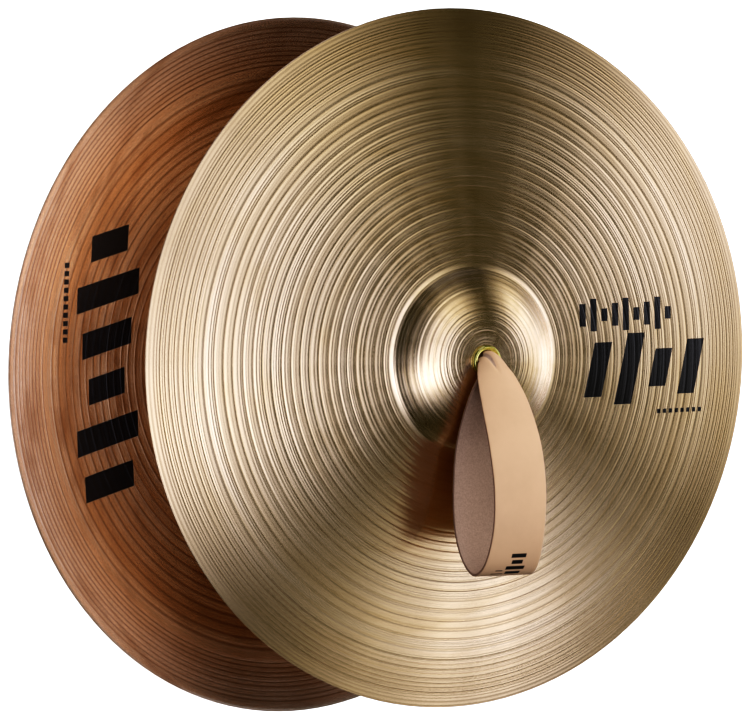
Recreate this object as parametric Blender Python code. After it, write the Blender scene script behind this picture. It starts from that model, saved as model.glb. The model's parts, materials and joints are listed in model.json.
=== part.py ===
"""A pair of 18-inch hand cymbals with leather straps, held ready to clash.

Metres, +Z up. The origin is the centre of the front cymbal's hole, on the outer face of its crown. The front
cymbal's axis lies along Y with its bell towards -Y. The rear cymbal faces it, bell towards +Y, and is turned
a few degrees about Z, so that the pair opens towards +X.

Both cymbals are built by the same functions in a cymbal frame: hole centre on the crown's outer face, outside
of the bell towards -Y, inside towards +Y. A turned profile is a list of (radius, y) in that frame.
"""

import math

import bmesh
import bpy
from mathutils import Vector

MM = 0.001
SMOOTH_BELOW = math.radians(35.0)  # edges that turn by less are shaded as curves

# Cymbal: one turned plate, with a flat crown, a domed bell and a shallow bow down to the rim.
RIM_RADIUS = 228.6 * MM
BELL_RADIUS = 61.0 * MM
CROWN_FLAT_RADIUS = 16.0 * MM
HOLE_RADIUS = 8.0 * MM
CROWN_HEIGHT = 46.3 * MM  # crown's outer face above the rim plane
BELL_HEIGHT = 16.7 * MM
RIM_SLOPE = 0.235
BELL_THICKNESS = 1.3 * MM
RIM_THICKNESS = 0.9 * MM
RIM_FLAT = 1.2 * MM  # width of the flat ring under the rim
TURN_STEPS = 64
BELL_STEPS = 6
BOW_STEPS = 5

# Eyelet: a thin barrel through the hole, with a rolled flange outside, closed over a washer inside.
GAP = 0.3 * MM
EYELET_BORE = 7.2 * MM
EYELET_BARREL = 7.7 * MM
FLANGE_RADIUS = 10.5 * MM
FLANGE_HEIGHT = 2.2 * MM
WASHER_RADIUS = 10.5 * MM
WASHER_THICKNESS = 0.8 * MM
LIP_RADIUS = 9.2 * MM
LIP_THICKNESS = 0.8 * MM
WASHER_FACE = BELL_THICKNESS + GAP  # y of the face nearest the crown
LIP_FACE = WASHER_FACE + WASHER_THICKNESS + GAP  # y of the lip's face nearest the washer
EYELET_STEPS = 32
FLANGE_STEPS = 6

# Strap: a leather band in a hanging loop. Its ends narrow to the hole, where they are slit into four thongs.
# The lists below are in millimetres.
STRAP_THICKNESS = 2.0 * MM
SWING_Y = -7.0 * MM  # the loop swings about an X axis just outside the flange
LOOP_STEPS = 44
CURVE_SAMPLES = 24  # for each stretch of a curve, when its length is measured
# Centreline of the band seen from the side, as (y, z) from the swing axis: down the side near the bell,
# round the bottom fold and up the outer side.
LOOP_PATH = (
    (1.15, 0.0),
    (1.7, -12.0),
    (5.0, -30.0),
    (12.0, -55.0),
    (13.6, -82.0),
    (10.2, -108.0),
    (0.0, -127.5),
    (-15.0, -137.0),
    (-27.5, -129.5),
    (-35.5, -107.0),
    (-36.0, -80.0),
    (-30.0, -53.0),
    (-18.0, -26.0),
    (-5.0, -7.0),
    (-1.15, 0.0),
)
# Full width of the band at each of those points.
LOOP_WIDTHS = (13.0, 23.0, 32.5, 37.5, 40.5, 42.0, 44.0, 46.0, 44.5, 41.5, 40.5, 37.5, 33.0, 20.0, 13.0)

# Crown knot inside the bell, in layers away from the crown. Each thong comes through the bore, bends flat,
# doubles back over one neighbour and dives under the next.
THONG_THICKNESS = 1.8 * MM
BORE_WIDTH = 6.2 * MM
KNOT_WIDTH = 7.0 * MM
BORE_INSET = 0.2 * MM  # each thong's distance from the two planes that quarter the bore
THONG_START = -2.8 * MM
KNOT_OFFSET = 6.0 * MM  # from the cymbal's axis to a thong's centreline in the knot
LAYER = THONG_THICKNESS + GAP  # also the radius of a thong's bends
KNOT_LOW = LIP_FACE + LIP_THICKNESS + GAP + THONG_THICKNESS / 2  # y of the lowest layer's centreline
SPREAD_REACH = 7.0 * MM  # from the axis to where a thong has its knot width and place
FOLD_REACH = 11.0 * MM  # from the axis to the centre of the fold
DIVE_HALF_LENGTH = 2.3 * MM
TAIL_LENGTHS = (33.0 * MM, 27.0 * MM, 30.0 * MM, 25.0 * MM)
TAIL_DROP = 6.0 * MM  # a tail's bend away from the bell for each TAIL_DROP_SPAN of its length, squared
TAIL_DROP_SPAN = 30.0 * MM
BEND_STEPS = 4
FOLD_STEPS = 8
DIVE_STEPS = 6
TAIL_STEPS = 6

# Rear cymbal: where its rim centre stands from the front cymbal's, and its turn about Z.
REAR_OFFSET = Vector((-65.4 * MM, 90.0 * MM, -6.4 * MM))
REAR_YAW = math.radians(6.4)

PLATE_FACE = "bronze"
EYELET_FACE = "brass"
STRAP_FACE = "tan_leather"
THONG_FACE = "thong_leather"
MATERIALS = {
    PLATE_FACE: ((0.62, 0.46, 0.24), 0.28, 1.0),
    EYELET_FACE: ((0.66, 0.58, 0.22), 0.25, 1.0),
    STRAP_FACE: ((0.64, 0.42, 0.24), 0.60, 0.0),
    THONG_FACE: ((0.46, 0.31, 0.20), 0.75, 0.0),
}


def clear_scene():
    for obj in list(bpy.data.objects):
        bpy.data.objects.remove(obj, do_unlink=True)


def make_material(node, finish):
    """A Principled material of the node's own, with its finish's colour, roughness and metallic value."""
    colour, roughness, metallic = MATERIALS[finish]
    material = bpy.data.materials.new(node + "_" + finish)
    material.use_nodes = True
    shader = material.node_tree.nodes["Principled BSDF"]
    shader.inputs["Base Color"].default_value = (*colour, 1.0)
    shader.inputs["Roughness"].default_value = roughness
    shader.inputs["Metallic"].default_value = metallic
    material.diffuse_color = (*colour, 1.0)
    return material


def add_empty(name, parent, location=(0.0, 0.0, 0.0), turn=0.0):
    empty = bpy.data.objects.new(name, None)
    empty.parent = parent
    empty.location = location
    empty.rotation_euler = (0.0, turn, 0.0)
    bpy.context.scene.collection.objects.link(empty)
    return empty


def add_node(name, bm, parent, finish, location=(0.0, 0.0, 0.0)):
    """Turns a finished bmesh into a named object, facing outwards and shaded smooth."""
    bmesh.ops.recalc_face_normals(bm, faces=bm.faces)
    mesh = bpy.data.meshes.new(name)
    bm.to_mesh(mesh)
    bm.free()
    mesh.shade_smooth()
    mesh.set_sharp_from_angle(angle=SMOOTH_BELOW)
    mesh.materials.append(make_material(name, finish))
    obj = bpy.data.objects.new(name, mesh)
    obj.parent = parent
    obj.location = location
    bpy.context.scene.collection.objects.link(obj)
    return obj


def turned(profile, steps):
    """Spins a closed (radius, y) outline about the Y axis."""
    bm = bmesh.new()
    verts = [bm.verts.new((radius, y, 0.0)) for radius, y in profile]
    edges = [bm.edges.new((a, b)) for a, b in zip(verts, verts[1:] + verts[:1])]
    bmesh.ops.spin(
        bm,
        geom=edges,
        cent=(0.0, 0.0, 0.0),
        axis=(0.0, 1.0, 0.0),
        angle=math.tau,
        steps=steps,
        use_merge=True,
        use_duplicate=False,
    )
    return bm


# Cymbal


def outer_face(radius):
    """y of the plate's outer face: flat crown, round dome, then a bow that steepens towards the rim."""
    dome_span = BELL_RADIUS - CROWN_FLAT_RADIUS
    dome_radius = (dome_span**2 + BELL_HEIGHT**2) / (2 * BELL_HEIGHT)
    if radius <= CROWN_FLAT_RADIUS:
        return 0.0
    if radius <= BELL_RADIUS:
        return dome_radius - math.sqrt(dome_radius**2 - (radius - CROWN_FLAT_RADIUS) ** 2)
    span = RIM_RADIUS - BELL_RADIUS
    drop = CROWN_HEIGHT - BELL_HEIGHT - RIM_THICKNESS
    inward = RIM_RADIUS - radius
    bend = (RIM_SLOPE * span - drop) / span**2
    return CROWN_HEIGHT - RIM_THICKNESS - RIM_SLOPE * inward + bend * inward**2


def thickness_at(radius):
    share = (radius - BELL_RADIUS) / (RIM_RADIUS - BELL_RADIUS)
    return BELL_THICKNESS + (RIM_THICKNESS - BELL_THICKNESS) * max(0.0, share)


def cymbal_profile():
    """Up the outer face from the hole to the rim, then back along the inner face."""
    dome_step = (BELL_RADIUS - CROWN_FLAT_RADIUS) / BELL_STEPS
    bow_step = (RIM_RADIUS - BELL_RADIUS) / BOW_STEPS
    dome = [CROWN_FLAT_RADIUS + dome_step * i for i in range(BELL_STEPS + 1)]
    bow = [BELL_RADIUS + bow_step * i for i in range(1, BOW_STEPS)]
    radii = [HOLE_RADIUS, *dome, *bow]
    outer = [(radius, outer_face(radius)) for radius in radii]
    inner = [(radius, outer_face(radius) + thickness_at(radius)) for radius in radii]
    rim = [
        (RIM_RADIUS, CROWN_HEIGHT - RIM_THICKNESS),
        (RIM_RADIUS, CROWN_HEIGHT),
        (RIM_RADIUS - RIM_FLAT, CROWN_HEIGHT),
    ]
    return outer + rim + inner[::-1]


# Eyelet


def eyelet_profile():
    """Round the flange from its outer edge to the bore, then along the barrel and round the lip."""
    middle = (EYELET_BORE + FLANGE_RADIUS) / 2
    half_width = (FLANGE_RADIUS - EYELET_BORE) / 2
    base = -2 * GAP
    flange = []
    for i in range(FLANGE_STEPS + 1):
        angle = math.pi * i / FLANGE_STEPS
        out, along = math.cos(angle), math.sin(angle)
        flange.append((middle + half_width * out, base - (FLANGE_HEIGHT + base) * along))
    lip = LIP_FACE
    barrel = [
        (EYELET_BORE, lip + LIP_THICKNESS / 2),
        ((EYELET_BORE + EYELET_BARREL) / 2, lip + LIP_THICKNESS),
        (LIP_RADIUS - LIP_THICKNESS / 4, lip + LIP_THICKNESS),
        (LIP_RADIUS, lip + LIP_THICKNESS / 2),
        (LIP_RADIUS - LIP_THICKNESS / 4, lip),
        (EYELET_BARREL, lip),
        (EYELET_BARREL, -GAP),
        (FLANGE_RADIUS - GAP, -GAP),
    ]
    return flange + barrel


def washer_profile():
    near, far = WASHER_FACE, WASHER_FACE + WASHER_THICKNESS
    inner = EYELET_BARREL + GAP
    return [(inner, near), (inner, far), (WASHER_RADIUS, far), (WASHER_RADIUS, near)]


# Strap and thongs


def curve_point(points, at):
    """A smooth curve through the points (Catmull-Rom), at 0 on the first and at len - 1 on the last."""
    i = min(int(at), len(points) - 2)
    t = at - i
    a, b = Vector(points[i]), Vector(points[i + 1])
    before = Vector(points[i - 1]) if i > 0 else 2 * a - b
    after = Vector(points[i + 2]) if i + 2 < len(points) else 2 * b - a
    linear = b - before
    square = 2 * before - 5 * a + 4 * b - after
    cube = 3 * (a - b) + after - before
    return (2 * a + linear * t + square * t**2 + cube * t**3) / 2


def evenly(points, steps):
    """Places along the curve through the points, at equal steps of its length."""
    fine = CURVE_SAMPLES * (len(points) - 1)
    places = [(len(points) - 1) * i / fine for i in range(fine + 1)]
    spots = [curve_point(points, place) for place in places]
    run = [0.0]
    for a, b in zip(spots, spots[1:]):
        run.append(run[-1] + (b - a).length)
    chosen = []
    for step in range(steps + 1):
        goal = run[-1] * step / steps
        i = next(i for i in range(fine) if run[i + 1] >= goal or i == fine - 1)
        share = (goal - run[i]) / (run[i + 1] - run[i])
        chosen.append(places[i] + share * (places[i + 1] - places[i]))
    return chosen


def band(centres, widths, offsets, thickness):
    """A flat band whose width lies along X and whose centreline runs through (y, z) points."""
    bm = bmesh.new()
    rings = []
    for i, centre in enumerate(centres):
        ahead = centres[min(i + 1, len(centres) - 1)] - centres[max(i - 1, 0)]
        normal = Vector((-ahead.y, ahead.x)).normalized() * thickness / 2
        sides = offsets[i] - widths[i] / 2, offsets[i] + widths[i] / 2
        corners = ((sides[0], 1), (sides[1], 1), (sides[1], -1), (sides[0], -1))
        rings.append([bm.verts.new((x, *(centre + side * normal))) for x, side in corners])
    for near, far in zip(rings, rings[1:]):
        for i in range(4):
            j = (i + 1) % 4
            bm.faces.new((near[i], near[j], far[j], far[i]))
    bm.faces.new(rings[0][::-1])
    bm.faces.new(rings[-1])
    return bm


def strap_loop():
    """The hanging loop, about its swing axis."""
    path = [(y * MM, z * MM) for y, z in LOOP_PATH]
    places = evenly(path, LOOP_STEPS)
    centres = [curve_point(path, place) for place in places]
    widths = []
    for place in places:
        i = min(int(place), len(LOOP_WIDTHS) - 2)
        share = place - i
        widths.append((LOOP_WIDTHS[i] * (1 - share) + LOOP_WIDTHS[i + 1] * share) * MM)
    return band(centres, widths, [0.0] * len(centres), STRAP_THICKNESS)


def bend(centre_y, centre_z, start, end, steps):
    """Points (y, z) round a bend of one layer's radius; angles in degrees from +Z towards +Y."""
    points = []
    for i in range(steps + 1):
        angle = math.radians(start + (end - start) * i / steps)
        points.append(Vector((centre_y + LAYER * math.sin(angle), centre_z + LAYER * math.cos(angle))))
    return points


def thong_in_bore():
    """(y, z) centreline through the bore, to the end of the bend that lays the thong flat."""
    stem_z = BORE_INSET + THONG_THICKNESS / 2
    return [Vector((THONG_START, stem_z)), *bend(KNOT_LOW - LAYER, stem_z + LAYER, 180, 90, BEND_STEPS)]


def thong_in_knot(tail_length):
    """(y, z) centreline in the knot: out under the weave, round the fold, over, down and out as a tail."""
    points = [Vector((KNOT_LOW, SPREAD_REACH)), *bend(KNOT_LOW + LAYER, FOLD_REACH, -90, 90, FOLD_STEPS)]
    for i in range(DIVE_STEPS + 1):
        share = i / DIVE_STEPS
        dive = LAYER * share * share * (3 - 2 * share)
        points.append(Vector((KNOT_LOW + 2 * LAYER - dive, DIVE_HALF_LENGTH * (1 - 2 * share))))
    for i in range(TAIL_STEPS + 1):
        run = tail_length * i / TAIL_STEPS
        drop = TAIL_DROP * (run / TAIL_DROP_SPAN) ** 2
        points.append(Vector((KNOT_LOW + LAYER + drop, -KNOT_OFFSET - KNOT_WIDTH / 2 - run)))
    return points


def thong(tail_length):
    """One slit end of the strap, in the quarter of the bore where x and z are positive."""
    bore, knot = thong_in_bore(), thong_in_knot(tail_length)
    widths = [BORE_WIDTH] * len(bore) + [KNOT_WIDTH] * len(knot)
    offsets = [BORE_INSET + BORE_WIDTH / 2] * len(bore) + [KNOT_OFFSET] * len(knot)
    return band(bore + knot, widths, offsets, THONG_THICKNESS)


def build_hand_cymbal(side, location, turn):
    """One cymbal with its eyelet and strap, placed by its hole centre and turned about Z."""
    stand = add_empty(side + "_stand", None, location)
    stand.rotation_euler = (0.0, 0.0, turn)
    add_node(side + "_cymbal", turned(cymbal_profile(), TURN_STEPS), stand, PLATE_FACE)
    add_node(side + "_eyelet", turned(eyelet_profile(), EYELET_STEPS), stand, EYELET_FACE)
    add_node(side + "_eyelet_washer", turned(washer_profile(), EYELET_STEPS), stand, EYELET_FACE)
    spin = add_empty(side + "_strap_spin", stand)
    for number, tail_length in enumerate(TAIL_LENGTHS):
        quarter = add_empty(f"{side}_thong_quarter_{number + 1}", spin, turn=math.tau / 4 * number)
        add_node(f"{side}_strap_thong_{number + 1}", thong(tail_length), quarter, THONG_FACE)
    swing = add_empty(side + "_strap_swing", spin, (0.0, SWING_Y, 0.0))
    add_node(side + "_strap_loop", strap_loop(), swing, STRAP_FACE)


def main():
    clear_scene()
    build_hand_cymbal("front", Vector((0.0, 0.0, 0.0)), 0.0)
    rear_rim = Vector((0.0, CROWN_HEIGHT, 0.0)) + REAR_OFFSET
    outward = Vector((-math.sin(REAR_YAW), math.cos(REAR_YAW), 0.0))
    build_hand_cymbal("rear", rear_rim + CROWN_HEIGHT * outward, math.pi + REAR_YAW)


main()
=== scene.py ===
"""Looks for the pair of hand cymbals: lathe-turned bronze plates, brass eyelets and leather straps.

Everything is worked out in a cymbal frame: hole centre on the crown's outer face, outside of the bell
towards -Y, inside towards +Y, +Z up. A placement matrix takes that frame to the front or the rear cymbal.
"""

import json
import math

import bpy
import numpy as np
from mathutils import Matrix, Vector


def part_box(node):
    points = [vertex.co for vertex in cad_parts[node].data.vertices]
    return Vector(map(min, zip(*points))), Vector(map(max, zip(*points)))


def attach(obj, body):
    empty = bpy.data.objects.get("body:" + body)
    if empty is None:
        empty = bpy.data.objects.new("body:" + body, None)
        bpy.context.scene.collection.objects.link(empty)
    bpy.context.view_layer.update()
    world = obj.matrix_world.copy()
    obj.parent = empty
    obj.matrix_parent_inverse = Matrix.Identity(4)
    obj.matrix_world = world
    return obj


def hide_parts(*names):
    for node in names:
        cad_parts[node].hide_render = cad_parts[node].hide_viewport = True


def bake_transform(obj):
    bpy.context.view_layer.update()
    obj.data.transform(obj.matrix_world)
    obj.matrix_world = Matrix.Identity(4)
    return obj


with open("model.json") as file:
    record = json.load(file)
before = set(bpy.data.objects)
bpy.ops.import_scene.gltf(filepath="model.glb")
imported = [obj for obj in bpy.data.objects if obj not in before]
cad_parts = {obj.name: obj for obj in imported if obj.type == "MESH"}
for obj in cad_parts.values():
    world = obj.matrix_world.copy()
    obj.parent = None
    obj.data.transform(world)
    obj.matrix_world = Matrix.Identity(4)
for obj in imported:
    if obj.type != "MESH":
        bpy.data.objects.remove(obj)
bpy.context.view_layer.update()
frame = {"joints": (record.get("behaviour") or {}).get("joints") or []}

MM = 0.001

# Sizes read from the frame

front_low, front_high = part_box("front_cymbal")
eyelet_low, eyelet_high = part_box("front_eyelet")
RIM_RADIUS = (front_high.x - front_low.x) / 2
CROWN_HEIGHT = front_high.y - front_low.y
FLANGE_RADIUS = (eyelet_high.x - eyelet_low.x) / 2
FLANGE_HEIGHT = -eyelet_low.y
LIP_END = eyelet_high.y


def rear_placement():
    """The rear cymbal's frame, from the hinge that its strap spins on."""
    spin = next(joint for joint in frame["joints"] if joint["name"] == "rear_strap_spin")
    outward = Vector(spin["axis"]).normalized()
    turn = math.pi + math.atan2(-outward.x, outward.y)
    return Matrix.Translation(spin["pos_m"]) @ Matrix.Rotation(turn, 4, "Z")


PLACEMENTS = {"front": Matrix.Identity(4), "rear": rear_placement()}

# Plate

BELL_RADIUS = 61.0 * MM
CROWN_FLAT_RADIUS = 16.0 * MM
HOLE_RADIUS = 8.0 * MM
BELL_HEIGHT = 16.7 * MM
RIM_SLOPE = 0.235
BELL_THICKNESS = 1.3 * MM
RIM_THICKNESS = 0.9 * MM
FILLET_INSIDE = 2.2 * MM  # how far the rounding at the bell's foot reaches on to the bell
FILLET_OUTSIDE = 3.4 * MM  # and on to the bow
FILLET_STEPS = 8
RIM_STEPS = 6
TURN_STEPS = 136
PLAIN_RADII = (HOLE_RADIUS, 11.0 * MM, CROWN_FLAT_RADIUS, 17.2 * MM, 225.0 * MM)  # points without a cut
# The lathe's cuts on each stretch: first and last radius, pitch, width and depth.
BELL_CUTS = (19.5 * MM, 57.0 * MM, 4.4 * MM, 2.4 * MM, 0.12 * MM)
BOW_CUTS = (67.5 * MM, 194.0 * MM, 6.4 * MM, 2.7 * MM, 0.15 * MM)
RIM_CUTS = (197.0 * MM, 222.0 * MM, 3.1 * MM, 1.5 * MM, 0.10 * MM)
# How much a hand-guided tool varies, as shares of a stretch's pitch, width and depth.
PITCH_RANGE = (0.94, 1.06)
WIDTH_RANGE = (0.9, 1.1)
DEPTH_RANGE = (0.85, 1.1)
FINE_PLACE_RANGE = (0.40, 0.60)
FINE_DEPTH_RANGE = (0.06, 0.24)
FINE_WIDTH = 0.5
CUT_POINTS = 5
FINE_CUT_POINTS = 4
OUTER_SEED = 4
INNER_SEED = 9

# Eyelet

EYELET_BORE = 7.2 * MM
LIP_RADIUS = 9.2 * MM
LIP_THICKNESS = 0.8 * MM
LIP_BEVEL = 0.2 * MM
SEAT_GAP = 0.3 * MM  # between the flange and the plate
BARREL_WALL = 0.5 * MM
ROLL_INSET = 1.1 * MM  # from the bore to the flange's roll
STEP_HEIGHT = 0.9 * MM  # least height of the roll's inner side
MOUTH_WIDTH = 0.9 * MM  # how far the rounding into the bore reaches across
MOUTH_DEPTH = 1.1 * MM  # and along the axis
MOUTH_END = 0.2 * MM
WASHER_BORE = EYELET_BORE + 0.8 * MM
ROLL_STEPS = 12
ROUND_STEPS = 8
EYELET_STEPS = 96

# Strap

STRAP_THICKNESS = 2.0 * MM
STRAP_EDGE = 0.8 * MM
# (y, z, width, curl in radians across the width), lengths in millimetres, along the middle of the leather:
# from the bore down the side near the bell, round the bottom fold, and up the outer side into the bore.
STRAP_STATIONS = (
    (-0.2, -5.9, 19.0, 3.1),
    (-2.4, -6.5, 19.4, 3.0),
    (-4.0, -9.3, 24.0, 2.2),
    (-4.4, -15.0, 31.0, 1.2),
    (-2.2, -31.0, 38.5, 0.45),
    (5.0, -55.0, 41.0, 0.2),
    (6.6, -82.0, 42.0, 0.12),
    (3.2, -108.0, 42.5, 0.08),
    (-7.0, -127.5, 42.8, 0.05),
    (-22.0, -137.0, 42.8, 0.05),
    (-34.5, -129.5, 41.0, 0.05),
    (-42.5, -107.0, 39.2, 0.08),
    (-43.0, -80.0, 39.4, 0.12),
    (-37.0, -53.0, 39.6, 0.25),
    (-26.0, -27.0, 36.5, 0.6),
    (-16.8, -9.5, 31.0, 1.2),
    (-12.2, -1.5, 26.0, 1.9),
    (-8.3, 3.6, 22.0, 2.6),
    (-4.0, 5.7, 19.2, 3.0),
    (-0.2, 5.9, 19.0, 3.1),
)
STRAP_LEAN = -2.2 * MM  # how far the bottom fold hangs to one side
STRAP_STEPS = 330
STRAP_ACROSS = 26
EDGE_STEPS = 6
SAMPLES_PER_ROW = 24
LEAST_CURL = 1e-3  # flat leather has a very wide bend instead of none
DART_START = Vector((2.5, -4.5)) * MM  # (distance from the bore, place across) of the dart's mouth
DART_END = Vector((23.0, 0.5)) * MM
DART_DEPTH = 2.4 * MM
DART_WIDTH = 1.5 * MM

# Thongs: the slit ends of the strap, woven into a crown knot inside the bell.

THONG_THICKNESS = 1.8 * MM
THONG_EDGE = 0.6 * MM
BORE_WIDTH = 6.2 * MM
KNOT_WIDTH = 7.0 * MM
BORE_INSET = 0.2 * MM
THONG_START = -2.8 * MM
KNOT_OFFSET = 6.0 * MM
KNOT_CURL = 0.25
LAYER = 2.1 * MM  # from the middle of one layer of the knot to the next
KNOT_LOW = LIP_END + SEAT_GAP + THONG_THICKNESS / 2
SPREAD_REACH = 7.0 * MM
FOLD_REACH = 11.0 * MM
DIVE_HALF_LENGTH = 2.3 * MM
TAIL_LENGTHS = (33.0 * MM, 27.0 * MM, 30.0 * MM, 25.0 * MM)
TAIL_DROP = 6.0 * MM
TAIL_DROP_SPAN = 30.0 * MM
THONG_STEPS = 110
THONG_ACROSS = 8
DIVE_STEPS = 3
TAIL_STEPS = 4


def sharp_face(radius):
    """y of the outer face as the CAD has it: flat crown, round dome, bow that steepens towards the rim."""
    dome_span = BELL_RADIUS - CROWN_FLAT_RADIUS
    dome_radius = (dome_span**2 + BELL_HEIGHT**2) / (2 * BELL_HEIGHT)
    if radius <= CROWN_FLAT_RADIUS:
        return 0.0
    if radius <= BELL_RADIUS:
        return dome_radius - math.sqrt(dome_radius**2 - (radius - CROWN_FLAT_RADIUS) ** 2)
    span = RIM_RADIUS - BELL_RADIUS
    drop = CROWN_HEIGHT - BELL_HEIGHT - RIM_THICKNESS
    inward = RIM_RADIUS - radius
    bend = (RIM_SLOPE * span - drop) / span**2
    return CROWN_HEIGHT - RIM_THICKNESS - RIM_SLOPE * inward + bend * inward**2


def smooth_face(radius):
    """The outer face with the crease at the bell's foot rounded."""
    start, end = BELL_RADIUS - FILLET_INSIDE, BELL_RADIUS + FILLET_OUTSIDE
    if not start < radius < end:
        return sharp_face(radius)
    step = 0.1 * MM
    slope_start = (sharp_face(start) - sharp_face(start - step)) / step
    slope_end = (sharp_face(end + step) - sharp_face(end)) / step
    span = end - start
    t = (radius - start) / span
    return (
        sharp_face(start) * (2 * t**3 - 3 * t**2 + 1)
        + slope_start * span * (t**3 - 2 * t**2 + t)
        + sharp_face(end) * (3 * t**2 - 2 * t**3)
        + slope_end * span * (t**3 - t**2)
    )


def thickness_at(radius):
    """The plate's thickness: even over the bell, and thinner towards the rim."""
    share = (radius - BELL_RADIUS) / (RIM_RADIUS - BELL_RADIUS)
    return BELL_THICKNESS + (RIM_THICKNESS - BELL_THICKNESS) * max(0.0, share)


def lathe_cuts(random, first, last, pitch, width, depth):
    """(points, radius, width, depth) of the lathe's cuts: one for each pitch, and a finer one between."""
    cuts = []
    radius = first
    while radius < last:
        this_width = width * random.uniform(*WIDTH_RANGE)
        cuts.append((CUT_POINTS, radius, this_width, depth * random.uniform(*DEPTH_RANGE)))
        between = radius + pitch * random.uniform(*FINE_PLACE_RANGE)
        if between < last:
            fine_depth = depth * random.uniform(*FINE_DEPTH_RANGE)
            cuts.append((FINE_CUT_POINTS, between, FINE_WIDTH * width, fine_depth))
        radius += pitch * random.uniform(*PITCH_RANGE)
    return cuts


def face_stations(seed):
    """(radius, depth, share of the deepest cut) across one face, with its points where the cuts are."""
    random = np.random.default_rng(seed)
    stations = []
    for stretch in (BELL_CUTS, BOW_CUTS, RIM_CUTS):
        deepest = stretch[-1]
        for count, radius, width, depth in lathe_cuts(random, *stretch):
            for i in range(count):
                aside = 2 * i / (count - 1) - 1
                share = 0.5 + 0.5 * math.cos(math.pi * aside)
                stations.append((radius + width / 2 * aside, depth * share, share * depth / deepest))
    fillet_step = (FILLET_INSIDE + FILLET_OUTSIDE) / FILLET_STEPS
    fillet = [BELL_RADIUS - FILLET_INSIDE + fillet_step * i for i in range(FILLET_STEPS + 1)]
    return sorted(stations + [(radius, 0.0, 0.0) for radius in (*PLAIN_RADII, *fillet)])


def plate_section():
    """The plate's closed outline as (radius, y, cut share, 1 on the inner face), outer face first."""
    outer = []
    for radius, depth, cut in face_stations(OUTER_SEED):
        outer.append((radius, smooth_face(radius) + depth, cut, 0.0))
    inner = []
    for radius, depth, cut in face_stations(INNER_SEED):
        inner.append((radius, smooth_face(radius) + thickness_at(radius) - depth, cut, 1.0))
    half = RIM_THICKNESS / 2
    rim_middle = CROWN_HEIGHT - half
    rim = []
    for i in range(RIM_STEPS + 1):
        share = i / RIM_STEPS
        angle = math.pi * share
        radius = RIM_RADIUS - half * (1 - math.sin(angle))
        rim.append((radius, rim_middle - half * math.cos(angle), 0.0, share))
    return outer + rim + inner[::-1]


def eyelet_section():
    """The eyelet's closed outline as (radius, y): rolled flange, stepped mouth, barrel and inner lip."""
    step_radius = EYELET_BORE + ROLL_INSET
    roll_middle = (step_radius + FLANGE_RADIUS) / 2
    roll_half = (FLANGE_RADIUS - step_radius) / 2
    base = -SEAT_GAP
    outline = []
    for i in range(ROLL_STEPS + 1):
        angle = math.pi * i / ROLL_STEPS
        least = STEP_HEIGHT if i > ROLL_STEPS / 2 else 0.0
        rise = (FLANGE_HEIGHT - SEAT_GAP) * math.sin(angle) ** 0.8
        outline.append((roll_middle + roll_half * math.cos(angle), base - max(rise, least)))
    for i in range(1, ROUND_STEPS + 1):
        angle = math.pi / 2 * i / ROUND_STEPS
        radius = EYELET_BORE + MOUTH_WIDTH * (1 - math.sin(angle))
        outline.append((radius, base - MOUTH_END - MOUTH_DEPTH * math.cos(angle)))
    lip_middle = (EYELET_BORE + LIP_RADIUS) / 2
    lip_half = (LIP_RADIUS - EYELET_BORE) / 2
    lip_y = LIP_END - LIP_THICKNESS / 2
    outline.append((EYELET_BORE, lip_y))
    for i in range(1, ROLL_STEPS):
        angle = math.pi * i / ROLL_STEPS
        radius = lip_middle - lip_half * math.cos(angle)
        outline.append((radius, lip_y + LIP_THICKNESS / 2 * math.sin(angle)))
    outline.append((LIP_RADIUS, lip_y))
    lip_back = LIP_END - LIP_THICKNESS
    outline.append((LIP_RADIUS - LIP_BEVEL, lip_back))
    outline.append((EYELET_BORE + BARREL_WALL, lip_back))
    outline.append((EYELET_BORE + BARREL_WALL, base))
    return outline[::-1]


def washer_section():
    """The washer's closed outline as (radius, y), with rounded rims."""
    low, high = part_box("front_eyelet_washer")
    outer = (high.x - low.x) / 2
    middle, half = (low.y + high.y) / 2, (high.y - low.y) / 2
    outline = []
    for centre, start in ((outer - half, -90), (WASHER_BORE + half, 90)):
        for i in range(ROUND_STEPS + 1):
            angle = math.radians(start + 180 * i / ROUND_STEPS)
            outline.append((centre + half * math.cos(angle), middle + half * math.sin(angle)))
    return outline


def quads_between(near, far):
    """Faces between rows of point numbers and the rows after them, each of which closes on itself."""
    quads = np.stack([near, np.roll(near, -1, axis=1), np.roll(far, -1, axis=1), far], axis=-1)
    return quads.reshape(-1, 4).tolist()


def ring_grid(count, steps):
    """Faces of a closed outline of that many points turned through a full circle."""
    index = np.arange(count * steps).reshape(steps, count)
    return quads_between(index, np.roll(index, -1, axis=0))


def turned_points(section, steps):
    """The points of an outline of (radius, y) turned about the Y axis."""
    angle = np.arange(steps) * math.tau / steps
    radius, y = section[:, 0], section[:, 1]
    x = radius[None, :] * np.cos(angle)[:, None]
    z = radius[None, :] * np.sin(angle)[:, None]
    return np.stack([x, np.broadcast_to(y, x.shape), z], axis=-1).reshape(-1, 3)


def add_attribute(mesh, name, values):
    """A float or vector attribute on the mesh's points."""
    kind = "FLOAT_VECTOR" if values.ndim == 2 else "FLOAT"
    attribute = mesh.attributes.new(name, kind, "POINT")
    field = "vector" if values.ndim == 2 else "value"
    attribute.data.foreach_set(field, np.ascontiguousarray(values, np.float32).ravel())


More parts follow.
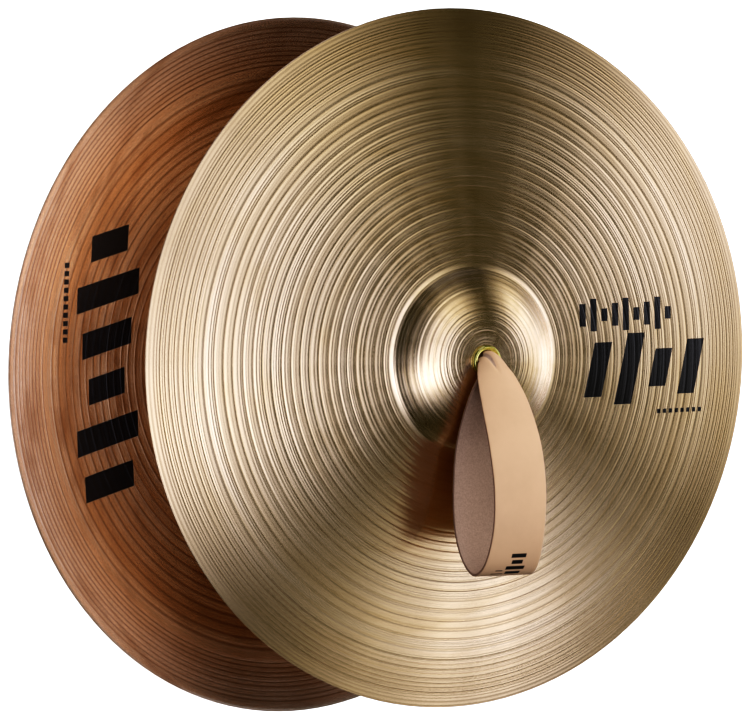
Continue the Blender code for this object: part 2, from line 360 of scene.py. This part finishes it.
def add_piece(name, points, faces, placement, material, attributes=()):
    """A named mesh in the shared frame, from points in a cymbal frame, kept as the attribute place."""
    matrix = np.array(placement)
    turn, shift = matrix[:3, :3].T, matrix[:3, 3]
    mesh = bpy.data.meshes.new(name)
    mesh.from_pydata((points @ turn + shift).tolist(), [], faces)
    add_attribute(mesh, "place", points)
    for attribute, values in attributes:
        add_attribute(mesh, attribute, values @ turn if values.ndim == 2 else values)
    mesh.shade_smooth()
    mesh.materials.append(material)
    mesh.update()
    obj = bpy.data.objects.new(name, mesh)
    bpy.context.scene.collection.objects.link(obj)
    return obj


def turned_piece(name, section, steps, placement, material, extra=()):
    """An outline turned about the cymbal's axis; its attribute across points away from the axis."""
    section = np.array(section)
    points = turned_points(section, steps)
    radius = np.maximum(np.hypot(points[:, 0], points[:, 2]), 1e-9)
    across = points * (1.0, 0.0, 1.0) / radius[:, None]
    attributes = [("across", across)]
    for column, attribute in enumerate(extra):
        attributes.append((attribute, np.tile(section[:, 2 + column], steps)))
    return add_piece(name, points, ring_grid(len(section), steps), placement, material, attributes)


# Strips of leather


def smooth_row(rows, at):
    """A smooth curve through rows of numbers (Catmull-Rom): at 0 it is the first, at len - 1 the last."""
    i = min(int(at), len(rows) - 2)
    t = at - i
    a, b = rows[i], rows[i + 1]
    before = rows[i - 1] if i > 0 else 2 * a - b
    after = rows[i + 2] if i + 2 < len(rows) else 2 * b - a
    cube = 3 * (a - b) + after - before
    return (2 * a + (b - before) * t + (2 * before - 5 * a + 4 * b - after) * t**2 + cube * t**3) / 2


def even_rows(rows, steps):
    """Rows along the smooth curve at equal steps of length, which the first two numbers measure."""
    places = np.linspace(0, len(rows) - 1, SAMPLES_PER_ROW * len(rows))
    fine = np.array([smooth_row(rows, at) for at in places])
    run = np.concatenate([[0.0], np.cumsum(np.linalg.norm(np.diff(fine[:, :2], axis=0), axis=1))])
    goals = np.linspace(0, run[-1], steps + 1)
    even = np.stack([np.interp(goals, run, fine[:, k]) for k in range(fine.shape[1])], axis=1)
    return even, goals


def rounded_section(width, thickness, edge, across):
    """(place across, height, 1 on the cut edges) round a flat strip with rounded edges."""
    half = width / 2 - edge
    points = []
    for side in (1, -1):
        for i in range(across + 1):
            points.append((side * (2 * half * i / across - half), side * thickness / 2, 0.0))
        for i in range(1, EDGE_STEPS):
            angle = math.pi * (0.5 - i / EDGE_STEPS)
            place = side * (half + edge * math.cos(angle))
            points.append((place, side * thickness / 2 * math.sin(angle), math.cos(angle) ** 0.5))
    return points


def strip_mesh(rows, run, thickness, edge, across, press=None):
    """Points, faces and attributes of a strip along rows of (y, z, width, curl, offset in x).

    The outer face is on the right of the path seen from +X, and a positive curl bends both edges away
    from it. press gives the depth of a pleat at (distance from the last end, place across).
    """
    points, attributes = [], []
    ahead = np.gradient(rows[:, :2], axis=0)
    for (y, z, width, curl, offset), along, (dy, dz) in zip(rows, run, ahead):
        length = math.hypot(dy, dz)
        out_y, out_z = -dz / length, dy / length
        bend_radius = width / max(curl, LEAST_CURL)
        for over, height, cut in rounded_section(width, thickness, edge, across):
            if press:
                height -= press(run[-1] - along, over)
            angle = over / bend_radius
            x = offset + (bend_radius + height) * math.sin(angle)
            out = (bend_radius + height) * math.cos(angle) - bend_radius
            points.append((x, y + out_y * out, z + out_z * out))
            attributes.append((along, over, height / thickness + 0.5, cut))
    index = np.arange(len(points)).reshape(len(rows), -1)
    faces = quads_between(index[:-1], index[1:]) + [index[0][::-1].tolist(), index[-1].tolist()]
    attributes = np.array(attributes)
    named = [(name, attributes[:, k]) for k, name in enumerate(("along", "over", "outer", "edge"))]
    return np.array(points), faces, named


def dart_depth(from_end, over):
    """Depth of the pleat where the strap's outer side is gathered into the bore; it narrows and fades."""
    line = DART_END - DART_START
    place = Vector((from_end, over)) - DART_START
    share = max(place.dot(line) / line.length_squared, 0.0)
    if share > 1:
        return 0.0
    aside = abs(place.x * line.y - place.y * line.x) / line.length
    width = DART_WIDTH * (1.3 - 0.7 * share)
    return DART_DEPTH * (1 - share**2) * math.exp(-((aside / width) ** 2))


def strap_piece(side, placement, material):
    """The strap's whole band, in one piece that takes the place of the loop."""
    stations = np.array(STRAP_STATIONS) * (MM, MM, MM, 1.0)
    height = stations[:, 1]
    lean = STRAP_LEAN * (height / height.min()) ** 2
    rows, run = even_rows(np.column_stack([stations, lean]), STRAP_STEPS)
    points, faces, attributes = strip_mesh(rows, run, STRAP_THICKNESS, STRAP_EDGE, STRAP_ACROSS, dart_depth)
    strap = add_piece(side + "_strap_band", points, faces, placement, material, attributes)
    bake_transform(strap)
    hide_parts(side + "_strap_loop")
    return strap


def bend(centre_y, centre_z, start, end, steps):
    """Points (y, z) round a bend of one layer's radius; angles in degrees from +Z towards +Y."""
    points = []
    for i in range(steps + 1):
        angle = math.radians(start + (end - start) * i / steps)
        points.append((centre_y + LAYER * math.sin(angle), centre_z + LAYER * math.cos(angle)))
    return points


def thong_path(tail_length):
    """Rows (y, z, width, curl, offset) of a thong in the quarter of the bore where x and z are positive."""
    stem_z = BORE_INSET + THONG_THICKNESS / 2
    bore_place = (BORE_WIDTH, 0.0, BORE_INSET + BORE_WIDTH / 2)
    knot_place = (KNOT_WIDTH, KNOT_CURL, KNOT_OFFSET)
    bore = [(THONG_START, stem_z), (0.0, stem_z), *bend(KNOT_LOW - LAYER, stem_z + LAYER, 180, 90, 3)]
    knot = [(KNOT_LOW, SPREAD_REACH), *bend(KNOT_LOW + LAYER, FOLD_REACH, -90, 90, 6)]
    for i in range(DIVE_STEPS + 1):
        share = i / DIVE_STEPS
        drop = LAYER * share * share * (3 - 2 * share)
        knot.append((KNOT_LOW + 2 * LAYER - drop, DIVE_HALF_LENGTH * (1 - 2 * share)))
    for i in range(TAIL_STEPS + 1):
        run = tail_length * i / TAIL_STEPS
        drop = TAIL_DROP * (run / TAIL_DROP_SPAN) ** 2
        knot.append((KNOT_LOW + LAYER + drop, -KNOT_OFFSET - KNOT_WIDTH / 2 - run))
    rows = [(*point, *bore_place) for point in bore]
    rows += [(*point, *knot_place) for point in knot]
    return np.array(rows)


def thong_piece(side, number, placement, material):
    """One thong, through the bore and the knot to its loose tail."""
    rows, run = even_rows(thong_path(TAIL_LENGTHS[number]), THONG_STEPS)
    points, faces, attributes = strip_mesh(rows, run, THONG_THICKNESS, THONG_EDGE, THONG_ACROSS)
    quarter = placement @ Matrix.Rotation(math.tau / 4 * number, 4, "Y")
    name = f"{side}_thong_{number + 1}"
    piece = add_piece(name, points, faces, quarter, material, attributes)
    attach(piece, side + "_strap_knot")
    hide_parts(f"{side}_strap_thong_{number + 1}")
    return piece


# Materials


class Nodes:
    """Short calls for building the node tree of a material or a world."""

    def __init__(self, owner):
        self.owner = owner
        owner.use_nodes = True
        self.tree = owner.node_tree
        self.shader = self.tree.nodes.get("Principled BSDF")

    def add(self, kind, **settings):
        """A new shader node with some of its settings."""
        node = self.tree.nodes.new("ShaderNode" + kind)
        for key, value in settings.items():
            setattr(node, key, value)
        return node

    def wire(self, socket, value):
        """Link a socket to another one, or set its value."""
        if isinstance(value, bpy.types.NodeSocket):
            self.tree.links.new(value, socket)
        else:
            socket.default_value = value

    def math(self, operation, a, b=0.0, c=0.0):
        node = self.add("Math", operation=operation)
        for socket, value in zip(node.inputs, (a, b, c)):
            self.wire(socket, value)
        return node.outputs[0]

    def vector(self, operation, a, b=(0.0, 0.0, 0.0)):
        node = self.add("VectorMath", operation=operation)
        self.wire(node.inputs[0], a)
        self.wire(node.inputs[1], b)
        is_number = operation in ("LENGTH", "DOT_PRODUCT")
        return node.outputs["Value" if is_number else "Vector"]

    def scaled(self, a, factor):
        """A vector times a number."""
        node = self.add("VectorMath", operation="SCALE")
        self.wire(node.inputs[0], a)
        self.wire(node.inputs["Scale"], factor)
        return node.outputs[0]

    def attribute(self, name, output="Fac"):
        """One of the mesh's attributes."""
        return self.add("Attribute", attribute_name=name).outputs[output]

    def split(self, vector):
        node = self.add("SeparateXYZ")
        self.wire(node.inputs[0], vector)
        return node.outputs

    def join(self, x, y, z):
        node = self.add("CombineXYZ")
        for socket, value in zip(node.inputs, (x, y, z)):
            self.wire(socket, value)
        return node.outputs[0]

    def noise(self, vector, scale, detail=2.0, roughness=0.5):
        node = self.add("TexNoise")
        self.wire(node.inputs["Vector"], vector)
        node.inputs["Scale"].default_value = scale
        node.inputs["Detail"].default_value = detail
        node.inputs["Roughness"].default_value = roughness
        return node.outputs["Fac"]

    def between(self, value, low, high, to_low=0.0, to_high=1.0):
        """A smooth step: to_low while value is below low, to_high once it is above high."""
        node = self.add("MapRange", interpolation_type="SMOOTHSTEP")
        for socket, number in zip(node.inputs, (value, low, high, to_low, to_high)):
            self.wire(socket, number)
        return node.outputs[0]

    def blend(self, share, a, b):
        """Colour a where share is 0, and b where it is 1."""
        node = self.add("Mix", data_type="RGBA")
        self.wire(node.inputs["Factor"], share)
        for socket, colour in ((node.inputs[6], a), (node.inputs[7], b)):
            is_fixed = isinstance(colour, tuple)
            self.wire(socket, (*colour, 1.0) if is_fixed else colour)
        return node.outputs[2]

    def bump(self, height, distance, strength=1.0):
        node = self.add("Bump")
        node.inputs["Strength"].default_value = strength
        node.inputs["Distance"].default_value = distance
        self.wire(node.inputs["Height"], height)
        return node.outputs["Normal"]

    def greatest(self, values):
        """The greatest of several values."""
        total = values[0]
        for value in values[1:]:
            total = self.math("MAXIMUM", total, value)
        return total


# Rows of printed bars, in millimetres: start, count, pitch, bar, middle, half height, sway and slant. They
# run along X on the outer face, along Z on the inner one, and along the leather on the strap.
OUTER_BARS = (
    (82, 9, 9.2, 5.4, 27, 7.5, 0.5, 0.0),
    (86, 4, 27, 15, -9, 18, 0.35, -0.25),
    (150, 8, 5.2, 3.2, -38, 1.5, 0.0, 0.0),
)
INNER_BARS = (
    (-88, 6, 31, 17, 138, 22, 0.3, 0.22),
    (18, 10, 5.4, 3.4, 176, 2.2, 0.0, 0.0),
)
STRAP_BARS = (
    (152, 4, 4.6, 2.8, 3, 5.5, 0.3, 0.0),
    (148, 3, 3.4, 0.9, -8, 3.5, 0.3, 0.0),
)
BAR_EDGE = 0.15 * MM
BAR_RHYTHM = 2.1  # radians of the swing from one bar's height to the next
FACE_MARGIN = 0.02  # how far the attribute inner may be from 0 or 1 on a printed face
PRINTED_SKIN = 0.9  # how far towards the strap's outer face the print starts
INK = (0.012, 0.011, 0.010)


def bar_row(nodes, u, v, start, count, pitch, bar, middle, half, sway, slant):
    """1 on a row of printed bars along u, whose half heights in v swing by the share sway; else 0."""
    start, pitch, bar, middle, half = (value * MM for value in (start, pitch, bar, middle, half))
    v = nodes.math("SUBTRACT", v, middle)
    u = nodes.math("MULTIPLY_ADD", v, slant, u)
    place = nodes.math("DIVIDE", nodes.math("SUBTRACT", u, start), pitch)
    number = nodes.math("FLOOR", place)
    aside = nodes.math("ABSOLUTE", nodes.math("SUBTRACT", nodes.math("FRACT", place), 0.5))
    across = nodes.math("SUBTRACT", bar / 2, nodes.math("MULTIPLY", aside, pitch))
    swing = nodes.math("SINE", nodes.math("MULTIPLY", number, BAR_RHYTHM))
    reach = nodes.math("MULTIPLY_ADD", swing, half * sway, half)
    along = nodes.math("SUBTRACT", reach, nodes.math("ABSOLUTE", v))
    from_middle = nodes.math("ABSOLUTE", nodes.math("SUBTRACT", place, count / 2))
    in_row = nodes.math("LESS_THAN", from_middle, count / 2)
    across, along = (nodes.between(inset, -BAR_EDGE, BAR_EDGE) for inset in (across, along))
    return nodes.math("MULTIPLY", nodes.math("MULTIPLY", across, along), in_row)


def plate_print(nodes):
    """1 where the plate is printed: rows of bars on the outer face, and larger ones on the inner face."""
    x, _, z = nodes.split(nodes.attribute("place", "Vector"))
    inner = nodes.attribute("inner")
    outer_face = nodes.math("LESS_THAN", inner, FACE_MARGIN)
    inner_face = nodes.math("GREATER_THAN", inner, 1.0 - FACE_MARGIN)
    outer_bars = nodes.greatest([bar_row(nodes, x, z, *row) for row in OUTER_BARS])
    inner_bars = nodes.greatest([bar_row(nodes, z, x, *row) for row in INNER_BARS])
    front = nodes.math("MULTIPLY", outer_bars, outer_face)
    back = nodes.math("MULTIPLY", inner_bars, inner_face)
    return nodes.math("MAXIMUM", front, back)


# The values between which a noise is spread over a look: most of them, and nearly all.
MOST = (0.35, 0.65)
NEARLY_ALL = (0.3, 0.7)
# Each face's bronze: its middle, pale and deep colour, the rim's colour, and the deep one's share in the
# cuts and in the patches. The deep colour in the cuts is painted shade. The rim's colour is painted light:
# a painted shade on the outer
# face and a painted highlight on the inner one. The inner face's whole set is a darker, coppery copy of the
# same bronze:
# painted reflection and shade, and its deep colour in the patches is painted shade as well.
OUTER_BRONZE_AND_PAINTED_SHADE = ((0.85, 0.65, 0.41), (0.89, 0.70, 0.47), (0.70, 0.50, 0.25), (0.59, 0.44, 0.26), 0.3, 0.35)
INNER_BRONZE_AND_PAINTED_REFLECTION = ((0.75, 0.49, 0.28), (0.88, 0.65, 0.43), (0.38, 0.20, 0.09), (0.87, 0.74, 0.62), 0.8, 0.6)
RIM_PAINTED_LIGHT = (180.0 * MM, 222.0 * MM, 0.0, 0.75)  # radii where the rim's painted light starts and peaks; its shares
PATCHES = (0.45, 0.75)  # the mottle's values where a patch starts and is full
ANISOTROPY = 0.7
BRONZE_ROUGHNESS = (0.21, 0.24)  # on the rays; the fine streaks add up to STREAK_ROUGHNESS
STREAK_ROUGHNESS = 0.05
RIPPLE_PITCH = 2.0 * MM
RIPPLE_HEIGHT = 0.024 * MM
RIPPLE_WOBBLE = 14.0  # radians by which the ripple's phase wanders
RIPPLE_SHARES = (0.25, 1.0)  # of the height, where it is faint and where it is strong
# How fine the bronze's noises are: per metre of radius, and the rays round the unit circle.
STREAK_SCALE = 420.0
TONE_SCALE = 60.0
WOBBLE_SCALE = 120.0
RAY_SCALE = 7.0
MOTTLE_SCALE = 1.6
MOTTLE_ROUND = 2.2  # its patches are long round the axis and short across
MOTTLE_ACROSS = 38.0


def polar(nodes):
    """(radius, unit circle vector) about the cymbal's axis, from the place attribute."""
    x, _, z = nodes.split(nodes.attribute("place", "Vector"))
    flat = nodes.join(x, 0.0, z)
    return nodes.vector("LENGTH", flat), nodes.vector("NORMALIZE", flat)


def bronze_material():
    """Bronze turned on a lathe: circular brushing, fine cuts and rays where the tool chattered, with
    painted shade and light in its colour.
    """
    nodes = Nodes(bpy.data.materials.new("turned_bronze"))
    radius, circle = polar(nodes)
    shader = nodes.shader
    shader.inputs["Anisotropic"].default_value = ANISOTROPY
    across = nodes.add("VectorTransform", vector_type="VECTOR", convert_from="OBJECT", convert_to="WORLD")
    nodes.wire(across.inputs[0], nodes.attribute("across", "Vector"))
    nodes.wire(shader.inputs["Tangent"], across.outputs[0])

    line = nodes.join(radius, 0.0, 0.0)
    streak = nodes.noise(line, STREAK_SCALE, detail=3.0, roughness=0.6)
    tone = nodes.noise(line, TONE_SCALE)
    rays = nodes.noise(circle, RAY_SCALE, detail=1.0)
    smear = nodes.vector("ADD", nodes.scaled(circle, MOTTLE_ROUND), nodes.scaled(line, MOTTLE_ACROSS))
    mottle = nodes.noise(smear, MOTTLE_SCALE, detail=3.0, roughness=0.55)

    faces = []
    # Painted light towards the rim: painted shade on the outer face, painted highlight on the inner one.
    painted_rim_light = nodes.between(radius, *RIM_PAINTED_LIGHT)
    for middle, pale, deep, rim, painted_cut_shade, in_patches in OUTER_BRONZE_AND_PAINTED_SHADE, INNER_BRONZE_AND_PAINTED_REFLECTION:
        face = nodes.blend(nodes.between(tone, *MOST), middle, pale)
        face = nodes.blend(painted_rim_light, face, rim)
        # Painted shade in the lathe cuts: they are darkened towards the deep colour.
        face = nodes.blend(nodes.math("MULTIPLY", nodes.attribute("cut"), painted_cut_shade), face, deep)
        faces.append(nodes.blend(nodes.between(mottle, *PATCHES, 0.0, in_patches), face, deep))
    ink = plate_print(nodes)
    # The inner face gets the darker, coppery copy of the bronze: painted reflection and shade.
    metal = nodes.blend(nodes.attribute("inner"), *faces)
    nodes.wire(shader.inputs["Base Color"], nodes.blend(ink, metal, INK))
    nodes.wire(shader.inputs["Metallic"], nodes.math("SUBTRACT", 1.0, ink))

    rough = nodes.between(rays, *NEARLY_ALL, *BRONZE_ROUGHNESS)
    rough = nodes.math("MULTIPLY_ADD", streak, STREAK_ROUGHNESS, rough)
    nodes.wire(shader.inputs["Roughness"], rough)

    wobble = nodes.math("MULTIPLY", nodes.noise(line, WOBBLE_SCALE, detail=1.0), RIPPLE_WOBBLE)
    phase = nodes.math("MULTIPLY_ADD", radius, math.tau / RIPPLE_PITCH, wobble)
    strength = nodes.between(tone, *MOST, *RIPPLE_SHARES)
    ripple = nodes.math("MULTIPLY", nodes.math("SINE", phase), strength)
    nodes.wire(shader.inputs["Normal"], nodes.bump(ripple, RIPPLE_HEIGHT))
    return nodes.owner


BRASS = ((0.80, 0.76, 0.22), (0.90, 0.87, 0.38))
BRASS_ROUGHNESS = (0.16, 0.28)
BRASS_TONE_SCALE = 300.0
MARK_SCALE = 3000.0
MARK_HEIGHT = 0.01 * MM


def brass_material():
    """Bright yellow brass of the eyelet, with fine turning marks."""
    nodes = Nodes(bpy.data.materials.new("eyelet_brass"))
    radius, _ = polar(nodes)
    nodes.shader.inputs["Metallic"].default_value = 1.0
    tone = nodes.noise(nodes.attribute("place", "Vector"), BRASS_TONE_SCALE)
    nodes.wire(nodes.shader.inputs["Base Color"], nodes.blend(tone, *BRASS))
    rough = nodes.between(tone, *NEARLY_ALL, *BRASS_ROUGHNESS)
    nodes.wire(nodes.shader.inputs["Roughness"], rough)
    marks = nodes.noise(nodes.join(radius, 0.0, 0.0), MARK_SCALE, detail=1.0)
    nodes.wire(nodes.shader.inputs["Normal"], nodes.bump(marks, MARK_HEIGHT))
    return nodes.owner


def strap_print(nodes):
    """1 where the strap's outer face is printed: plain bars just above the bottom fold."""
    along, over = nodes.attribute("along"), nodes.attribute("over")
    bars = nodes.greatest([bar_row(nodes, along, over, *row) for row in STRAP_BARS])
    outer_face = nodes.math("GREATER_THAN", nodes.attribute("outer"), PRINTED_SKIN)
    return nodes.math("MULTIPLY", bars, outer_face)


# Each leather's smooth face, suede face and burnished cut edge.
STRAP_LEATHER = ((0.60, 0.39, 0.24), (0.42, 0.295, 0.225), (0.17, 0.10, 0.07))
THONG_LEATHER = ((0.42, 0.26, 0.15), (0.34, 0.22, 0.14), (0.12, 0.06, 0.035))
# How fine the leather's noises are, per metre.
CLOUD_SCALE = 45.0
PORE_SCALE = 1700.0
NAP_SCALE = 900.0
GRAIN_HEIGHT = 0.12 * MM
GRAIN_STRENGTH = 0.7
SKIN_ROUGHNESS = 0.55
SUEDE_ROUGHNESS = 0.9
CLOUD_SHADE = 0.8  # the smooth face's darker clouds, and their share
CLOUD_SHARE = 0.35
NAP_SHADE = 0.72
SKIN_EDGE = (0.35, 0.65)  # the attribute outer where the skin starts and is whole
CUT_TONE = (0.5, 0.95, 0.0, 0.9)  # the attribute edge where the cut's colour starts and peaks; its shares


def darker(colour, factor):
    """A colour with every channel times the factor."""
    return tuple(factor * channel for channel in colour)


def leather_material(name, smooth, suede, cut, printed=False):
    """Leather with a smooth outer face, a napped inner face and burnished cut edges."""
    nodes = Nodes(bpy.data.materials.new(name))
    place = nodes.attribute("place", "Vector")
    outer = nodes.between(nodes.attribute("outer"), *SKIN_EDGE)
    cloud = nodes.noise(place, CLOUD_SCALE, detail=3.0, roughness=0.55)
    pores = nodes.noise(place, PORE_SCALE, roughness=0.6)
    nap = nodes.noise(place, NAP_SCALE, detail=4.0, roughness=0.7)
    clouded = nodes.between(cloud, *NEARLY_ALL, 0.0, CLOUD_SHARE)
    skin = nodes.blend(clouded, smooth, darker(smooth, CLOUD_SHADE))
    flesh = nodes.blend(nodes.between(nap, *NEARLY_ALL), suede, darker(suede, NAP_SHADE))
    colour = nodes.blend(outer, flesh, skin)
    colour = nodes.blend(nodes.between(nodes.attribute("edge"), *CUT_TONE), colour, cut)
    if printed:
        colour = nodes.blend(strap_print(nodes), colour, INK)
    nodes.wire(nodes.shader.inputs["Base Color"], colour)
    rough = nodes.math("MULTIPLY_ADD", outer, SKIN_ROUGHNESS - SUEDE_ROUGHNESS, SUEDE_ROUGHNESS)
    nodes.wire(nodes.shader.inputs["Roughness"], rough)
    height = nodes.math("MULTIPLY", nodes.math("ADD", pores, nap), 0.5)
    nodes.wire(nodes.shader.inputs["Normal"], nodes.bump(height, GRAIN_HEIGHT, GRAIN_STRENGTH))
    return nodes.owner


# Stage

# Tints of light: most of the studio's, its warmer lamps', and the faint one that comes from all round.
COOL = (1.0, 1.025, 1.28)
WARM = (1.0, 0.97, 0.90)
OLIVE = (1.0, 0.97, 0.15)
# The soft lights: bearing from -Y towards +X, elevation and spread (all in degrees), brightness, tint.
LIGHTS = (
    (-15, -15, 7.5, 2.8, COOL),
    (0, -15, 7.5, 0.6, COOL),
    (-4, -1, 7.5, 1.9, COOL),
    (2, 15, 7.5, 1.45, COOL),
    (8, 28, 7.5, 0.7, WARM),
    (16, 31, 7.5, 0.75, WARM),
    (66, 27, 8, 1.1, WARM),
    (63, 11, 8, 1.75, COOL),
    (78, 6, 8, 0.5, COOL),
    (90, -2, 8, 1.4, COOL),
    (104, -8, 7, 2.55, COOL),
    (118, -16, 7, 1.4, COOL),
    (107, 16, 7, 1.15, COOL),
    (66, -6, 6, 0.95, WARM),
    (69, -25, 4.5, 1.1, WARM),
    (38, -21, 5, 2.2, COOL),
    (28, -27, 6, 0.75, WARM),
    (180, 10, 20, 0.5, COOL),
    (-130, 10, 20, 0.4, WARM),
    (-100, 5, 16, 0.35, COOL),
    (165, 0, 15, 0.4, COOL),
    (-160, 50, 18, 0.35, COOL),
    (-160, -45, 18, 0.25, WARM),
    (180, 78, 16, 0.9, COOL),
    (180, -78, 16, 0.5, WARM),
    (20, 0, 55, 0.035, OLIVE),
)
BACKDROP = (1.3, 1.3, 1.3)
# Lights that only matt surfaces receive: bearing, elevation (degrees) and strength.
FILLS = ((55, 20, 1.75), (-40, 35, 1.3), (150, 25, 1.2), (-130, 25, 1.2))
FILL_SPREAD = 60.0


def direction(bearing, elevation):
    """The unit vector towards a bearing from -Y towards +X, and an elevation, in degrees."""
    bearing, elevation = math.radians(bearing), math.radians(elevation)
    level = math.cos(elevation)
    return math.sin(bearing) * level, -math.cos(bearing) * level, math.sin(elevation)


def make_world():
    """White to the camera. Everything else is lit by soft round lights far away, without hard edges."""
    world = bpy.data.worlds.new("studio")
    bpy.context.scene.world = world
    nodes = Nodes(world)
    toward = nodes.add("TexCoord").outputs["Generated"]
    total = (0.0, 0.0, 0.0)
    for bearing, elevation, spread, brightness, tint in LIGHTS:
        nearness = nodes.vector("DOT_PRODUCT", toward, direction(bearing, elevation))
        sharpness = 1 / math.radians(spread) ** 2
        fall = nodes.math("MULTIPLY", nodes.math("SUBTRACT", nearness, 1.0), sharpness)
        glow = nodes.math("MULTIPLY", nodes.math("EXPONENT", fall), brightness)
        total = nodes.vector("ADD", nodes.scaled(tint, glow), total)
    seen = nodes.add("LightPath").outputs["Is Camera Ray"]
    nodes.wire(nodes.tree.nodes["Background"].inputs["Color"], nodes.blend(seen, total, BACKDROP))


def make_fills():
    """Wide soft lights for the leather, which the metal doesn't mirror."""
    for number, (bearing, elevation, strength) in enumerate(FILLS):
        data = bpy.data.lights.new(f"fill_{number + 1}", "SUN")
        data.angle = math.radians(FILL_SPREAD)
        data.energy = strength
        light = bpy.data.objects.new(data.name, data)
        light.rotation_euler = Vector(direction(bearing, elevation)).to_track_quat("Z", "Y").to_euler()
        light.visible_glossy = False
        bpy.context.scene.collection.objects.link(light)


FLOOR_REACH = 60.0
FLOOR_HEIGHT = -0.5
FLOOR_COLOUR = (0.85, 0.85, 0.85, 1.0)
FLOOR_ROUGHNESS = 0.9
FLOOR_GLOW = (1.0, 1.0, 1.0, 1.0)  # white to the camera


def make_floor():
    """A plain pale floor, well under the pair because the pair is held up."""
    mesh = bpy.data.meshes.new("floor")
    corners = [(x * FLOOR_REACH, y * FLOOR_REACH, 0.0) for x, y in ((-1, -1), (1, -1), (1, 1), (-1, 1))]
    mesh.from_pydata(corners, [], [(0, 1, 2, 3)])
    floor = bpy.data.objects.new("floor", mesh)
    floor.location = (0.0, 0.0, FLOOR_HEIGHT)
    bpy.context.scene.collection.objects.link(floor)
    nodes = Nodes(bpy.data.materials.new("pale_floor"))
    nodes.shader.inputs["Base Color"].default_value = FLOOR_COLOUR
    nodes.shader.inputs["Roughness"].default_value = FLOOR_ROUGHNESS
    nodes.shader.inputs["Emission Color"].default_value = FLOOR_GLOW
    seen = nodes.add("LightPath").outputs["Is Camera Ray"]
    nodes.wire(nodes.shader.inputs["Emission Strength"], seen)
    mesh.materials.append(nodes.owner)
    floor.visible_glossy = False
    floor.visible_diffuse = False
    floor.visible_shadow = False


VIEW_ANGLES = (-31.44, 2.77)  # bearing and elevation of the camera, in degrees
VIEW_DISTANCE = 6.0
LENS = 441.0  # focal length and sensor width in millimetres
SENSOR_WIDTH = 36.0
PAN = 0.463  # how far the camera turns to the left of the front cymbal's rim centre, in degrees
TILT = 0.011


def make_camera():
    """A long lens, a little to the left and just above the middle."""
    location = Vector((0.0, CROWN_HEIGHT, 0.0)) + Vector(direction(*VIEW_ANGLES)) * VIEW_DISTANCE
    aim = location - Vector(direction(VIEW_ANGLES[0] + PAN, VIEW_ANGLES[1] + TILT))
    data = bpy.data.cameras.new("camera")
    data.sensor_width = SENSOR_WIDTH
    data.lens = LENS
    camera = bpy.data.objects.new("camera", data)
    camera.location = location
    camera.rotation_euler = (location - aim).to_track_quat("Z", "Y").to_euler()
    bpy.context.scene.collection.objects.link(camera)
    bpy.context.scene.camera = camera


TONE_POWER = 1.7
TONE_SHOULDER = 0.5
TONE_STEPS = 16
COMBINED_CURVE = 3  # after red, green and blue


def make_tone():
    """A film-like tone curve, (1 + c) x^p / (x^p + c): deep darks, and highlights that ease into white."""
    settings = bpy.context.scene.view_settings
    settings.view_transform = "Standard"
    settings.use_curve_mapping = True
    curve = settings.curve_mapping.curves[COMBINED_CURVE]
    for i in range(1, TONE_STEPS):
        x = (i / TONE_STEPS) ** 2
        raised = x**TONE_POWER
        curve.points.new(x, (1 + TONE_SHOULDER) * raised / (raised + TONE_SHOULDER))
    settings.curve_mapping.update()


# Build


def build_cymbal(side, placement, bronze, brass, strap_leather, thong_leather):
    """One cymbal's visible pieces; the plate, eyelet, washer and thongs each ride on a body."""
    section = plate_section()
    plate = turned_piece(side + "_plate", section, TURN_STEPS, placement, bronze, ("cut", "inner"))
    eyelet = turned_piece(side + "_eyelet_ring", eyelet_section(), EYELET_STEPS, placement, brass)
    washer = turned_piece(side + "_washer_ring", washer_section(), EYELET_STEPS, placement, brass)
    for piece, node, slot in (
        (plate, "_cymbal", "bronze"),
        (eyelet, "_eyelet", "eyelet_brass"),
        (washer, "_eyelet_washer", "eyelet_brass"),
    ):
        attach(piece, side + "_cymbal")
        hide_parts(side + node)
    strap_piece(side, placement, strap_leather)
    for number in range(len(TAIL_LENGTHS)):
        thong_piece(side, number, placement, thong_leather)


bronze = bronze_material()
brass = brass_material()
strap_leather = leather_material("strap_leather", *STRAP_LEATHER, printed=True)
thong_leather = leather_material("thong_leather", *THONG_LEATHER)
for side, placement in PLACEMENTS.items():
    build_cymbal(side, placement, bronze, brass, strap_leather, thong_leather)

make_world()
make_fills()
make_floor()
make_camera()
make_tone()
